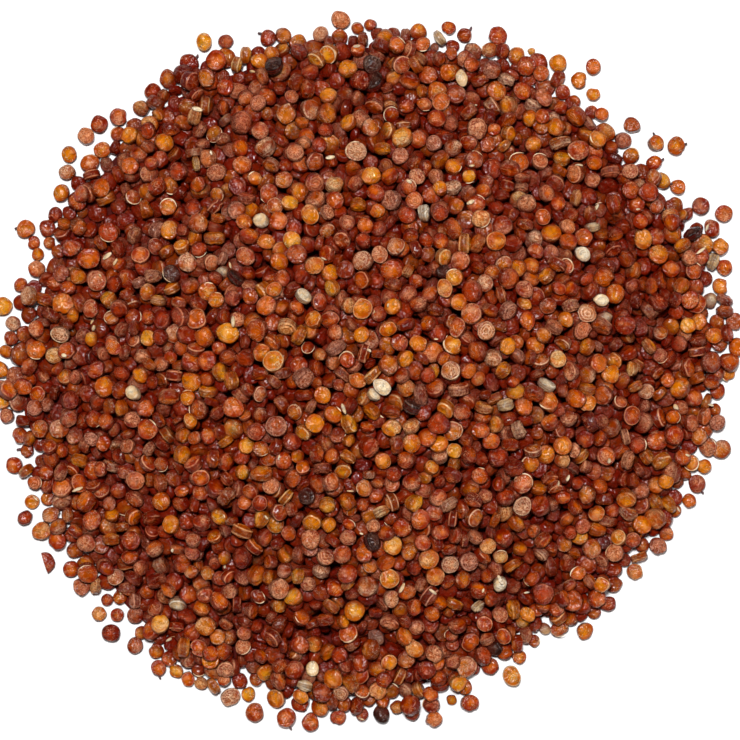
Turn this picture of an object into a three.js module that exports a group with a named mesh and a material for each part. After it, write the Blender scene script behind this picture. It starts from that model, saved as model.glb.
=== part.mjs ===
// A loose round heap of dry red quinoa, as it was poured onto a flat surface, with the
// single grains that rolled clear of its edge. The quinoa seed is a small thick lens, so
// the heap spreads low and wide, and it thins out to an uneven edge one grain thick.
//
// Millimetres, +Z up. The origin lies on the surface, under the middle of the whole part.

import * as THREE from 'three';

// ---- Driving dimensions ----

const GRAIN_THICKNESS = 1.1; // an average seed is 2.0 across and this thick

const HEAP_HEIGHT = 12;
const HEAP_CENTRE = { x: -0.1, y: 0.4 };
const CROWN_POWER = 2; // 1 gives the heap a sharp peak and 2 a round dome
const SKIRT_POWER = 1.35; // above 1, the slope runs out flat into the thin edge

// How far the heap reaches from HEAP_CENTRE, every 15 degrees, anticlockwise from +X.
const OUTLINE_RADII = [
  39.1, 39.6, 38.2, 36.9, 37.4, 37.2, 36.3, 36.8,
  37.0, 37.6, 37.0, 37.0, 38.9, 38.4, 36.8, 38.6,
  38.0, 36.9, 37.0, 36.8, 35.3, 36.1, 36.8, 37.4,
];

// The surface is a lattice of rings. Ring k has 6k points, and every third point is the top
// of a grain, so the tops lie about one grain's width apart, as in a close packing.
const RINGS = 30;
const GRAIN_TOP = { lift: 0.2, spread: 0.35 };
const GRAIN_DIP = { lift: -0.45, spread: 0.25 };
const SIDEWAYS_JITTER = 0.4;
const SWELL_HEIGHT = 0.3; // broad, low swells, as a poured heap has
const SWELL_LENGTH = 21;

// The heap's edge is rounded like the grains that form it.
const EDGE_SHOULDER = { inset: 0.35, height: 1.0 };
const EDGE_BULGE = { inset: 0, height: 0.55 };
const EDGE_FOOT = { inset: 0.4, height: 0 };
const EDGE_NOTCH = 0.9; // how deep the gaps between the edge's grains cut in
const NOTCH_FADE = 12; // a high power keeps the notches to the outermost rings
const STRAY_CLEARANCE = 0.35; // the free space that the heap leaves round a stray grain

// Grains that lie clear of the heap, flat on the surface. turn is the long axis's angle.
const STRAY_GRAINS = [
  { x: -35.5, y: 14.9, length: 2.05, width: 1.9, turn: 20 },
  { x: -16.8, y: 34.5, length: 2.15, width: 1.55, turn: 117 },
  { x: 22.5, y: 30.5, length: 1.8, width: 1.7, turn: 80 },
  { x: 24.0, y: 31.9, length: 1.75, width: 1.65, turn: 60 },
  { x: 24.0, y: 29.0, length: 1.55, width: 1.3, turn: -20 },
  { x: 32.7, y: 23.6, length: 2.0, width: 1.95, turn: 0 },
  { x: 37.7, y: 16.5, length: 1.95, width: 1.85, turn: -30 },
  { x: 37.4, y: -8.2, length: 2.15, width: 2.05, turn: 10 },
  { x: -11.5, y: -35.8, length: 2.1, width: 1.95, turn: 75 },
  { x: -37.9, y: 6.8, length: 2.1, width: 2.0, turn: 0 },
];
const BROKEN_GRAIN = { x: -33.1, y: -19.9, length: 2.3, width: 1.25, thickness: 0.95, turn: -72 };

// ---- Small helpers ----

const { degToRad, lerp } = THREE.MathUtils;
const FULL_TURN = 2 * Math.PI;

// A repeatable number from 0 to 1 for a pair of numbers.
function scatter(a, b) {
  const value = Math.sin(a * 12.9898 + b * 78.233) * 43758.5453;
  return value - Math.floor(value);
}

// ---- The heap's outline ----

// The smooth closed curve through OUTLINE_RADII, as a radius for each angle.
function smoothRadius(angle) {
  const count = OUTLINE_RADII.length;
  const place = (angle / FULL_TURN) * count;
  const start = Math.floor(place);
  const t = place - start;
  const [before, from, to, after] = [-1, 0, 1, 2].map(
    (step) => OUTLINE_RADII[(start + step + count) % count],
  );
  return 0.5 * (2 * from + (to - before) * t
    + (2 * before - 5 * from + 4 * to - after) * t * t
    + (3 * (from - to) + after - before) * t * t * t);
}

// How far a ray from the heap's centre may go before it comes too near a stray grain.
function radiusBeforeStray(angle, stray) {
  const dx = stray.x - HEAP_CENTRE.x;
  const dy = stray.y - HEAP_CENTRE.y;
  const along = dx * Math.cos(angle) + dy * Math.sin(angle);
  const aside = dy * Math.cos(angle) - dx * Math.sin(angle);
  const reach = stray.length / 2 + STRAY_CLEARANCE;
  if (along < 0 || Math.abs(aside) > reach) return Infinity;
  return along - Math.sqrt(reach * reach - aside * aside);
}

// The radius at one point of the outermost ring: the smooth curve with a notch of random
// depth between the grains, drawn in where a stray grain lies close.
function notchedRadius(step) {
  const angle = (step / (6 * RINGS)) * FULL_TURN;
  const notched = smoothRadius(angle) - EDGE_NOTCH * scatter(step, 7);
  const limits = [...STRAY_GRAINS, BROKEN_GRAIN].map((stray) => radiusBeforeStray(angle, stray));
  return Math.min(notched, ...limits);
}

const EDGE_RADII = Array.from({ length: 6 * RINGS }, (_, step) => notchedRadius(step));

// The edge's radius at any angle, straight from one point of the outermost ring to the next.
function edgeRadius(angle) {
  const place = (angle / FULL_TURN) * EDGE_RADII.length;
  const step = Math.floor(place);
  const next = (step + 1) % EDGE_RADII.length;
  return lerp(EDGE_RADII[step % EDGE_RADII.length], EDGE_RADII[next], place - step);
}

// ---- The heap ----

// Height of the heap's mean surface, at a share of the way out from its centre.
function slopeHeight(share) {
  const rise = (1 - share ** CROWN_POWER) ** SKIRT_POWER;
  return lerp(EDGE_SHOULDER.height, HEAP_HEIGHT, rise);
}

function swellHeight(x, y, share) {
  const wave = Math.sin((FULL_TURN * x) / SWELL_LENGTH + 1) * Math.cos((FULL_TURN * y) / SWELL_LENGTH);
  return SWELL_HEIGHT * wave * (1 - share);
}

// How far a lattice point stands above or below the mean surface.
function grainLift(ring, step) {
  const isGrainTop = (ring + (step % Math.max(ring, 1))) % 3 === 0;
  const { lift, spread } = isGrainTop ? GRAIN_TOP : GRAIN_DIP;
  return lift + spread * (scatter(ring + 3, step) - 0.5);
}

function surfacePoint(ring, step) {
  const share = ring / RINGS;
  const angle = ring === 0 ? 0 : (step / (6 * ring)) * FULL_TURN;
  const reach = lerp(smoothRadius(angle), edgeRadius(angle), share ** NOTCH_FADE);
  const distance = share * (reach - EDGE_SHOULDER.inset);
  const x = distance * Math.cos(angle);
  const y = distance * Math.sin(angle);
  if (ring === RINGS) return [x, y, EDGE_SHOULDER.height];
  return [
    x + SIDEWAYS_JITTER * (scatter(ring, step) - 0.5),
    y + SIDEWAYS_JITTER * (scatter(step, ring + 0.5) - 0.5),
    slopeHeight(share) + swellHeight(x, y, share) + grainLift(ring, step),
  ];
}

// A ring of points round the heap's edge, below its surface.
function edgePoints({ inset, height }) {
  return EDGE_RADII.map((radius, step) => {
    const angle = (step / EDGE_RADII.length) * FULL_TURN;
    return [(radius - inset) * Math.cos(angle), (radius - inset) * Math.sin(angle), height];
  });
}

function latticeIndex(ring, step) {
  return ring === 0 ? 0 : 1 + 3 * ring * (ring - 1) + (step % (6 * ring));
}

// The triangles between each ring of the lattice and the next, in six equal sectors.
function latticeTriangles() {
  const triangles = [];
  for (let ring = 0; ring < RINGS; ring += 1) {
    for (let sector = 0; sector < 6; sector += 1) {
      for (let step = 0; step <= ring; step += 1) {
        const inner = latticeIndex(ring, sector * ring + step);
        const outer = latticeIndex(ring + 1, sector * (ring + 1) + step);
        const outerNext = latticeIndex(ring + 1, sector * (ring + 1) + step + 1);
        triangles.push(inner, outer, outerNext);
        if (step < ring) {
          triangles.push(inner, outerNext, latticeIndex(ring, sector * ring + step + 1));
        }
      }
    }
  }
  return triangles;
}

// The band between two rings of the edge, each given by the index of its first point.
function bandTriangles(upper, lower) {
  return EDGE_RADII.flatMap((_, step) => {
    const next = (step + 1) % EDGE_RADII.length;
    return [upper + step, lower + step, lower + next, upper + step, lower + next, upper + next];
  });
}

function undersideTriangles(foot, middle) {
  return EDGE_RADII.flatMap((_, step) => [middle, foot + ((step + 1) % EDGE_RADII.length), foot + step]);
}

function makeHeapGeometry() {
  const points = [surfacePoint(0, 0)];
  for (let ring = 1; ring <= RINGS; ring += 1) {
    for (let step = 0; step < 6 * ring; step += 1) points.push(surfacePoint(ring, step));
  }
  const shoulder = latticeIndex(RINGS, 0);
  const bulge = points.length;
  const foot = bulge + EDGE_RADII.length;
  const middle = foot + EDGE_RADII.length;
  points.push(...edgePoints(EDGE_BULGE), ...edgePoints(EDGE_FOOT), [0, 0, EDGE_FOOT.height]);

  const geometry = new THREE.BufferGeometry();
  geometry.setAttribute('position', new THREE.Float32BufferAttribute(points.flat(), 3));
  geometry.setIndex([
    ...latticeTriangles(),
    ...bandTriangles(shoulder, bulge),
    ...bandTriangles(bulge, foot),
    ...undersideTriangles(foot, middle),
  ]);
  geometry.computeVertexNormals();
  return geometry;
}

// ---- Single grains ----

// A whole seed: a lens with a rounded rim and a small flat spot that it lies on.
function makeGrainGeometry({ length, width }) {
  const section = [[0, 0], [0.42, 0], [0.82, 0.17], [1, 0.5], [0.82, 0.84], [0.42, 0.97], [0, 1]];
  const profile = section.map(([radius, height]) => new THREE.Vector2(radius, height));
  const geometry = new THREE.LatheGeometry(profile, 14);
  geometry.rotateX(Math.PI / 2);
  geometry.scale(length / 2, width / 2, GRAIN_THICKNESS);
  geometry.computeVertexNormals();
  return geometry;
}

// A seed that split across: a half disc with a rounded rim and a straight broken side.
function makeBrokenGrainGeometry({ length, width, thickness }) {
  const bevel = 0.3;
  const outline = new THREE.Shape();
  outline.absellipse(0, -width / 2 + bevel, length / 2 - bevel, width - 2 * bevel, 0, Math.PI);
  outline.closePath();
  const geometry = new THREE.ExtrudeGeometry(outline, {
    depth: thickness - 2 * bevel,
    curveSegments: 10,
    bevelThickness: bevel,
    bevelSize: bevel,
    bevelSegments: 2,
  });
  geometry.translate(0, 0, bevel);
  return geometry;
}

// ---- The part ----

const part = new THREE.Group();

function addPiece(name, geometry, color, { x, y, turn }) {
  const piece = new THREE.Mesh(
    geometry,
    new THREE.MeshStandardMaterial({ color, roughness: 0.55, metalness: 0 }),
  );
  piece.name = name;
  piece.position.set(x, y, 0);
  piece.rotation.z = degToRad(turn);
  part.add(piece);
}

const RED_BROWN = 0x84421f;
const AMBER = 0xb9772f;

addPiece('quinoa_heap', makeHeapGeometry(), RED_BROWN, { ...HEAP_CENTRE, turn: 0 });
STRAY_GRAINS.forEach((stray, index) => {
  const color = stray.width < 1.6 ? AMBER : RED_BROWN;
  const name = `stray_grain_${String(index + 1).padStart(2, '0')}`;
  addPiece(name, makeGrainGeometry(stray), color, stray);
});
addPiece('broken_grain', makeBrokenGrainGeometry(BROKEN_GRAIN), RED_BROWN, BROKEN_GRAIN);

// The sizes above already centre the part to a few hundredths; this takes out the rest.
const middle = new THREE.Box3().setFromObject(part, true).getCenter(new THREE.Vector3());
part.position.set(-middle.x, -middle.y, 0);
part.updateMatrixWorld(true);

export default part;
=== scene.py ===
"""A loose, round heap of dry red quinoa on a pale floor, seen from straight above.

The heap's solid is replaced by single grains in loose layers over a smaller core, and each solid
beside the heap by a grain of its own. Work is done in millimetres in the frame's axes, and metres
come in only where a solid is read and where a mesh, a light or the camera is made.
"""
import math
from collections import namedtuple

import bpy
import numpy as np
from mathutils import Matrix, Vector
from mathutils.bvhtree import BVHTree


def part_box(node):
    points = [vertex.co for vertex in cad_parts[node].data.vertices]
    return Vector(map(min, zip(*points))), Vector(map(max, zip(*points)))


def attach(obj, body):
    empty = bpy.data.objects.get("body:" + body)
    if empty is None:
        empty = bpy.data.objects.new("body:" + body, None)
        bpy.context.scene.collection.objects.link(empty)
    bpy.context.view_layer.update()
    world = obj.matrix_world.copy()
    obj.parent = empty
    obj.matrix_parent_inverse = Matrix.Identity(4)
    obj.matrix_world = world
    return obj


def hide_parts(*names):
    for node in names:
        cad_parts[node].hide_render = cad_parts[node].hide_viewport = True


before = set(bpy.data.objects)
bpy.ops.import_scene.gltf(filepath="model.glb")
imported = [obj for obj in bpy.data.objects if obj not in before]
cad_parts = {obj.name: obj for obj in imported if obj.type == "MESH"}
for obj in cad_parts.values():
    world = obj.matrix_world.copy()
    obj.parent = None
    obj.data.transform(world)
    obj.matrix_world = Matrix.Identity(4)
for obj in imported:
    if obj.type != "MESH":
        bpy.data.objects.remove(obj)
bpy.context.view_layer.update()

METRES = 0.001              # metres in a millimetre
SEED = 20
FULL_TURN = 2 * math.pi

# Where the picture's pixels fall on the floor, which is what the camera frames.
PICTURE_SIDE = 740          # pixels, both ways
PICTURE_MIDDLE = (370.5, 369.5)
MM_PER_PIXEL = 0.105
VIEW_CENTRE = (0.55, 0.18)  # mm, under the picture's middle

# One grain, as radii and half its thickness.
GRAIN_RADIUS = 0.96
RADIUS_SPREAD = 0.11
RADIUS_LIMITS = (0.70, 1.26)
OVAL_SPREAD = 0.085         # how much shorter the other radius tends to be, as a share
THICKNESS_SHARE = (0.50, 0.66)   # of the radius

# How the grains are poured, in layers over the core.
COVER = 3.8                 # depth of loose grains over the core, mm
LAYERS = 5
LAYER_START = 0.7           # height of the lowest layer's grains over the core,
LAYER_STEP = 1.12           # height that one more layer adds,
LAYER_JITTER = 0.15         # and how far a grain is off that height, at most
LAYER_INSET = 0.45          # each layer starts this much further inside the outline than the one below
LAYER_SPARE = 0.55          # share of a layer's grains that are left where the depth ends just below it,
LAYER_FULL = 0.97           # and where there is depth for the whole layer
TRIED_HALF = (40, 38)       # the places tried for a layer go this far from the middle, across and along,
TRIES = 14000               # and there are this many
APART = 1.42                # least distance between the middles of two grains of a layer
APART_AT_EDGE = 1.28        # the same near the outline
EDGE_BELT = 3.9             # how far inside the outline that goes
EDGE_KEEP = 0.75            # the lowest layer starts this far inside the outline
EDGE_DEPTH = 1.1            # least depth of grains where it starts,
EDGE_RISE = 0.5             # and how much that grows for each mm further in
CLEAR = (1.1, 1.3)          # how far the lowest layer, and the others, stay off grains read off the edge
LEAN_SPREAD = 0.5           # how far the grains lean over, in radians
EDGE_ON_SHARE = 0.36        # share of the grains that stand on their rims, or nearly,
EDGE_ON_LEANS = (0.9, 1.57)      # and how far those lean over
CORE_INSET = 2.6            # the core's edge lies this far inside the outline
HELD = 0.15                 # how freely a grain read off the edge turns and moves aside, next to 1
SINKING = ((160, 0.03), (60, 0.004))   # how the grains settle: steps, and the first step's length

# Grains read off the edge of the heap, by kind: pixels across and down, and the width in pixels
# where it isn't the usual one. They lean over by about the spread, in radians. One whose middle is
# this near to an earlier one's, in mm, starts on top of it, by the lift.
USUAL_WIDTH = 18.0
EDGE_OVAL = (0.88, 1.0)     # their other radius, as a share of the first
EDGE_LEAN_SPREAD = 0.22
EDGE_NEAR = 1.5
EDGE_LIFT = 0.9
THICKEST_FROM = 0.95        # the largest ones are only as thick as a grain of this radius, mm
EDGE_GRAINS = {
    "maroon": (
        (190, 64, 20), (270, 38, 17), (154, 92, 17), (80, 183, 16), (57, 214, 16), (26, 517, 16),
        (112, 632, 19), (240, 679, 16), (432, 704), (626, 543), (581, 614, 14), (538, 63, 21),
    ),
    "chestnut": (
        (100, 124), (119, 134, 16), (49, 228), (98, 213, 20), (226, 42, 15), (378, 34, 14), (528, 80, 17),
        (592, 112, 14), (700, 206), (712, 228), (697, 483, 19), (654, 529, 13), (608, 603, 17), (505, 650),
        (412, 711, 17), (108, 580, 20), (108, 599, 13), (83, 586), (36, 481, 15), (42, 442),
        (13, 338, 15), (22, 302, 16), (716, 391, 17), (689, 446, 17), (259, 53, 14),
    ),
    "rust": (
        (87, 136), (119, 117), (175, 102, 15), (209, 70, 19), (240, 77, 15), (341, 20, 20), (358, 28, 13),
        (371, 25, 13), (449, 28, 15), (498, 37, 20), (453, 46, 14), (562, 92, 16), (573, 103, 17),
        (601, 114, 15), (654, 163, 16), (678, 187, 16), (688, 213, 14), (724, 267, 17), (737, 347, 19),
        (712, 358, 16), (700, 383, 17), (689, 500, 15), (674, 497, 16), (666, 532, 15), (624, 559, 14),
        (470, 702, 19), (434, 717, 17), (490, 665), (339, 715, 16), (311, 721, 19), (287, 717, 21),
        (301, 702, 19), (224, 677, 14), (190, 678, 15), (160, 666, 16), (118, 614, 14), (72, 568, 17),
        (58, 539, 19), (16, 465, 17), (28, 450, 14), (21, 435, 17), (8, 415, 15), (18, 376, 22),
        (22, 285, 15), (38, 268), (35, 243, 14), (70, 213, 15),
    ),
    "copper": (
        (70, 154, 17), (91, 164, 20), (104, 150), (142, 108, 17), (63, 193), (50, 242, 13), (60, 251, 15),
        (58, 266, 20), (38, 255, 13), (222, 76, 16), (227, 58, 21), (273, 55, 17), (299, 44, 19), (289, 62),
        (340, 37, 17), (418, 33, 17), (490, 51, 17), (516, 56), (558, 64), (604, 133, 22), (631, 156),
        (641, 172), (656, 143, 17), (720, 247), (720, 286, 17), (716, 322, 16), (719, 343, 17),
        (727, 373, 16), (715, 409, 13), (703, 465, 16), (692, 463, 17), (674, 510, 14), (642, 544, 15),
        (635, 571, 17), (585, 630), (519, 656, 15), (465, 686, 16), (398, 706, 15), (368, 697),
        (321, 706, 19), (277, 697, 20), (257, 677, 15), (202, 682, 14), (157, 650, 16), (100, 613, 15),
        (121, 596, 15), (44, 531, 20), (49, 498, 15), (33, 501, 15), (42, 461, 13), (30, 314, 17),
        (24, 334), (142, 632, 14),
    ),
    "amber": (
        (128, 148, 17), (84, 212, 12), (177, 670, 15), (249, 693, 15), (391, 689), (452, 699, 11),
        (512, 675, 21), (661, 181), (673, 206, 20), (677, 481, 14), (555, 102, 15), (532, 52, 8),
    ),
    "frosted": (
        (170, 79, 20), (190, 90, 20), (136, 126, 17), (68, 172, 17), (283, 37, 17), (321, 35, 17),
        (394, 35, 15), (473, 52, 19), (485, 66), (545, 87, 20), (613, 583), (534, 640, 13), (560, 627),
        (592, 612, 14), (345, 703, 17), (231, 696, 20), (160, 636, 17), (76, 549), (52, 514),
        (19, 401, 21), (8, 351, 15), (14, 323, 16),
    ),
    "mauve": (
        (632, 125, 17), (623, 140, 17), (734, 321), (704, 278, 16), (716, 422), (658, 545),
        (465, 35, 15), (362, 713, 14), (136, 644, 17), (137, 614), (35, 286, 16),
    ),
    "cream": ((710, 300, 16), (546, 628, 13), (435, 47, 9)),
    "dark": ((382, 713, 19),),
}
# The same for grains that stand on their rims there, with the way their long side runs, in degrees.
STANDING_LEAN = 1.45        # radians
STANDING_GRAINS = {
    "maroon": ((353, 45, 85),),
    "chestnut": ((406, 37, 90), (26, 421, -10)),
    "copper": ((27, 470, 38), (707, 401, 65), (639, 556, 20)),
    "amber": ((246, 56, 88), (214, 684, -58)),
    "frosted": ((363, 43, 88), (44, 322, -5)),
    "cream": ((440, 38, 125), (713, 261, 68)),
}
# Pale, yellow and near-black grains that stand out in the heap, and loose pale flakes on it.
CREAM_GRAINS = (
    (232, 118), (272, 222), (232, 268), (309, 293), (468, 89), (417, 222), (602, 304), (612, 322),
    (585, 258), (142, 395), (183, 605), (313, 662), (312, 676), (381, 379), (382, 398), (545, 386),
    (507, 578), (485, 611), (388, 639), (593, 222), (503, 403),
)
AMBER_GRAINS = (
    (215, 95), (183, 284), (608, 357), (632, 360), (653, 461), (652, 507), (398, 423), (182, 528),
    (213, 579), (440, 260), (300, 130), (520, 300), (250, 440), (420, 500),
)
DARK_GRAINS = (
    (268, 67), (182, 269), (373, 91), (447, 271), (608, 160), (696, 238), (316, 499), (359, 461),
    (607, 539), (417, 405), (528, 516), (381, 545),
)
PALE_FLAKES = (
    (336, 163), (199, 122), (253, 70), (248, 318), (469, 163), (414, 194), (475, 202), (598, 203),
    (583, 170), (703, 252), (353, 401), (287, 460), (84, 481), (172, 641), (262, 524), (562, 480),
    (600, 452), (497, 579), (410, 581), (437, 591), (501, 541), (682, 406), (104, 263), (96, 318),
    (144, 314), (77, 343), (100, 331),
)
MORE_FLAKES = 30            # small ones at random places
# Grains with a pale rim, or part of one.
PALE_RIMS = (
    (212, 151), (349, 147), (143, 208), (107, 309), (529, 554), (362, 365), (50, 335), (341, 52),
    (540, 155), (693, 464), (368, 697), (165, 200), (560, 275), (300, 350), (448, 340), (250, 590),
    (520, 470), (395, 115),
)
MORE_RIMS = 75              # short, thin ones at random places
# Dark stubs of stalk: pixels of the grains at the heap's edge that have one, and the way it points,
# in degrees, and after those the same for the single grains.
STALKS = (
    (654, 136, 100), (661, 160, 20), (702, 491, -60), (161, 674, -85), (290, 727, -70), (262, 38, 150),
    (21, 448, 170), (194, 56, 40), (469, 29, 45), (667, 175, -20), (662, 526, 70),
)
STRAY_STALKS = {"stray_grain_01": 175, "stray_grain_06": 10, "stray_grain_08": 130}
# The single grains beside the heap: their kinds, and how deep a notch each has and which way.
STRAYS = {
    "stray_grain_01": ("copper", 0.0, 0),
    "stray_grain_02": ("amber", 0.06, 40),
    "stray_grain_03": ("copper", 0.16, -5),
    "stray_grain_04": ("rust", 0.0, 90),
    "stray_grain_05": ("amber", 0.03, 30),
    "stray_grain_06": ("copper", 0.10, -35),
    "stray_grain_07": ("rust", 0.05, 0),
    "stray_grain_08": ("frosted", 0.04, 120),
    "stray_grain_09": ("chestnut", 0.04, -60),
    "stray_grain_10": ("amber", 0.02, 80),
}

# Each kind of grain: how much of the heap it is next to the others, its slot of the record, the colours of
# its faces, of its shoulders, whose darker red is partly painted shade, and of its frost, and how wrinkled
# and frosted it is and how much painted highlight its rim ridges get.
Kind = namedtuple("Kind", "amount slot face shoulder frost wrinkled frosted rimmed")
KINDS = {
    "maroon": Kind(0.09, "chestnut_grain", "#9e3002", "#681200", "#d67c56", 0.30, 0.30, 0.00),
    "chestnut": Kind(0.17, "chestnut_grain", "#b04600", "#7a1a00", "#e2946a", 0.35, 0.38, 0.10),
    "rust": Kind(0.18, "rust_grain", "#c25800", "#902600", "#f0a476", 0.30, 0.36, 0.12),
    "russet": Kind(0.16, "rust_grain", "#b84e00", "#862200", "#eca67a", 0.50, 0.44, 0.15),
    "copper": Kind(0.18, "amber_grain", "#ce7200", "#a84400", "#f6b87e", 0.30, 0.34, 0.12),
    "amber": Kind(0.055, "amber_grain", "#d48610", "#ba5a02", "#fad098", 0.30, 0.32, 0.20),
    "mauve": Kind(0.05, "mauve_grain", "#a24206", "#741e00", "#de9878", 0.60, 0.42, 0.10),
    "frosted": Kind(0.10, "mauve_grain", "#b85e06", "#8e3200", "#f8c49c", 0.65, 0.46, 0.20),
    "cream": Kind(0.0, "cream_grain", "#eed6ae", "#d4aa78", "#fcf2de", 0.20, 0.34, 0.20),
    "dark": Kind(0.004, "dark_grain", "#4a2016", "#2a0e08", "#846050", 0.45, 0.34, 0.10),
}
KIND_NAMES = list(KINDS)
POURED = -1                 # stands for the kind of a grain that hasn't been given one yet
CREAM_SIZE = (0.95, 0.78, 0.92)   # a cream grain of the heap next to the others: along, across and thick
DEEP = "#660e02"            # colour of the seams round a rim, and painted shade on what lies deep between the grains
FINE_FROM = 0.3             # grains that show at least this much from above are made finely,
FLAKE_FROM = 0.25           # and this much, may carry a flake,
MARKED_FROM = 0.4           # and this much, may be a grain that stands out,
WELL_SEEN = 0.5             # and this much, may have a pale rim or a stalk


def on_floor(across, down):
    """The point of the floor, in mm, that a pixel of the picture shows."""
    return (
        (across - PICTURE_MIDDLE[0]) * MM_PER_PIXEL + VIEW_CENTRE[0],
        (PICTURE_MIDDLE[1] - down) * MM_PER_PIXEL + VIEW_CENTRE[1],
    )


def box_of(node):
    """The low and the high corner of a node's box, in mm."""
    return [np.array(corner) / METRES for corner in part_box(node)]


# ---------------- heights

class HeightField:
    """Heights on a square lattice of points, read between them as well."""

    def __init__(self, heights, corner, cell):
        self.heights = heights
        self.corner = np.array(corner, float)
        self.cell = cell
        self.slope_x, self.slope_y = np.gradient(heights, cell)

    def read(self, table, x, y):
        column = np.clip((x - self.corner[0]) / self.cell, 0, table.shape[0] - 1.001)
        row = np.clip((y - self.corner[1]) / self.cell, 0, table.shape[1] - 1.001)
        i, j = column.astype(int), row.astype(int)
        u, v = column - i, row - j
        near = table[i, j] * (1 - v) + table[i, j + 1] * v
        far = table[i + 1, j] * (1 - v) + table[i + 1, j + 1] * v
        return near * (1 - u) + far * u

    def at(self, x, y):
        return self.read(self.heights, x, y)

    def normal(self, x, y):
        across = -self.read(self.slope_x, x, y)
        along = -self.read(self.slope_y, x, y)
        up = np.stack([across, along, np.ones(len(x))], 1)
        return up / np.linalg.norm(up, axis=1, keepdims=True)


def blurred(table, sigma):
    """The table smoothed by a bell curve that is sigma points wide."""
    reach = int(3 * sigma)
    bell = np.exp(-0.5 * (np.arange(-reach, reach + 1) / sigma) ** 2)
    bell /= bell.sum()
    for axis in (0, 1):
        table = np.apply_along_axis(np.convolve, axis, table, bell, "same")
    return table


def solid_top(node, cell=0.5, margin=3.0, sigma=3.0):
    """The smoothed top of a CAD solid, and a field of how far inside its outline each point is."""
    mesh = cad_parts[node].data
    tree = BVHTree.FromPolygons([v.co for v in mesh.vertices], [p.vertices for p in mesh.polygons])
    low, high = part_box(node)
    xs = np.arange(low.x / METRES - margin, high.x / METRES + margin, cell)
    ys = np.arange(low.y / METRES - margin, high.y / METRES + margin, cell)
    height = np.zeros((len(xs), len(ys)))
    for i, x in enumerate(xs):
        for j, y in enumerate(ys):
            point = tree.ray_cast((x * METRES, y * METRES, 2 * high.z), (0, 0, -1))[0]
            height[i, j] = point.z / METRES if point else 0.0
    solid = (height > 0).astype(float)
    share = np.maximum(blurred(solid, sigma), 1e-3)
    smooth = np.where(solid > 0, blurred(height, sigma) / share, 0.0)
    corner = (xs[0], ys[0])
    return HeightField(smooth, corner, cell), HeightField(edge_distance(solid, cell), corner, cell)


def edge_distance(solid, cell, furthest=4.0):
    """How far each lattice point lies inside the outline, up to a furthest distance."""
    distance = np.where(solid > 0, furthest, 0.0)
    for _ in range(int(furthest / cell) + 1):
        for axis in (0, 1):
            for step in (1, -1):
                distance = np.minimum(distance, np.roll(distance, step, axis) + cell)
        for step_x in (1, -1):
            for step_y in (1, -1):
                corner = np.roll(np.roll(distance, step_x, 0), step_y, 1)
                distance = np.minimum(distance, corner + cell * math.sqrt(2))
    return distance


# ---------------- settling

def turned(spin, lean, roll):
    """Rotations that roll a grain about its own axis, lean the axis over, and spin it about the vertical."""
    return turn_about(2, spin) @ turn_about(1, lean) @ turn_about(2, roll)


def turn_about(axis, angle):
    cosine, sine = np.cos(angle), np.sin(angle)
    turn = np.zeros((len(angle), 3, 3))
    a, b = [(1, 2), (2, 0), (0, 1)][axis]
    turn[:, axis, axis] = 1
    turn[:, a, a] = turn[:, b, b] = cosine
    turn[:, a, b], turn[:, b, a] = -sine, sine
    return turn


def small_turn(twist):
    """The rotation matrices of small rotation vectors."""
    angle = np.linalg.norm(twist, axis=1)[:, None, None]
    k = np.zeros((len(twist), 3, 3))
    k[:, 0, 1], k[:, 0, 2], k[:, 1, 2] = -twist[:, 2], twist[:, 1], -twist[:, 0]
    k -= k.transpose(0, 2, 1)
    safe = np.maximum(angle, 1e-9)
    return np.eye(3) + k * np.sin(safe) / safe + k @ k * (1 - np.cos(safe)) / safe ** 2


BALLS = 7                   # a grain touches its neighbours with one middle ball and six round its rim
RIM_BALL = 0.74             # a rim ball's radius, as a share of half the thickness
REACH_MARGIN = 0.45         # balls this near to each other are watched until the next look, mm
LOOK_EVERY = 8              # steps
SINK_FADE = 1.5             # how fast the sinking slows down
PUSH = 1.2                  # how far one step moves a grain, next to the mean push on it,
TWIST = 0.35                # and how far it turns it, next to the mean twist


def balls_of(half):
    """Each grain's contact balls: their places in the grain's own axes, and their radii."""
    rim = RIM_BALL * half[:, 2]
    angle = np.arange(BALLS - 1) * (FULL_TURN / (BALLS - 1))
    places = np.zeros((len(half), BALLS, 3))
    places[:, 1:, 0] = (half[:, 0] - rim)[:, None] * np.cos(angle)
    places[:, 1:, 1] = (half[:, 1] - rim)[:, None] * np.sin(angle)
    radii = np.repeat(rim[:, None], BALLS, 1)
    radii[:, 0] = half[:, 2]
    return places, radii


def neighbour_balls(place, balls, radii):
    """The pairs of balls of different grains that may come to touch soon."""
    square = (place ** 2).sum(1)
    apart = square[:, None] + square[None] - 2 * place @ place.T
    reach = 2 * RADIUS_LIMITS[1] + REACH_MARGIN
    one, two = np.nonzero(np.triu(apart < reach ** 2, 1))
    pick = np.arange(BALLS)
    first = (one[:, None, None] * BALLS + pick[None, :, None] + 0 * pick[None, None, :]).ravel()
    second = (two[:, None, None] * BALLS + pick[None, None, :] + 0 * pick[None, :, None]).ravel()
    flat, size = balls.reshape(-1, 3), radii.ravel()
    gap = flat[first] - flat[second]
    near = (gap ** 2).sum(1) < (size[first] + size[second] + REACH_MARGIN) ** 2
    return first[near], second[near]


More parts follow.
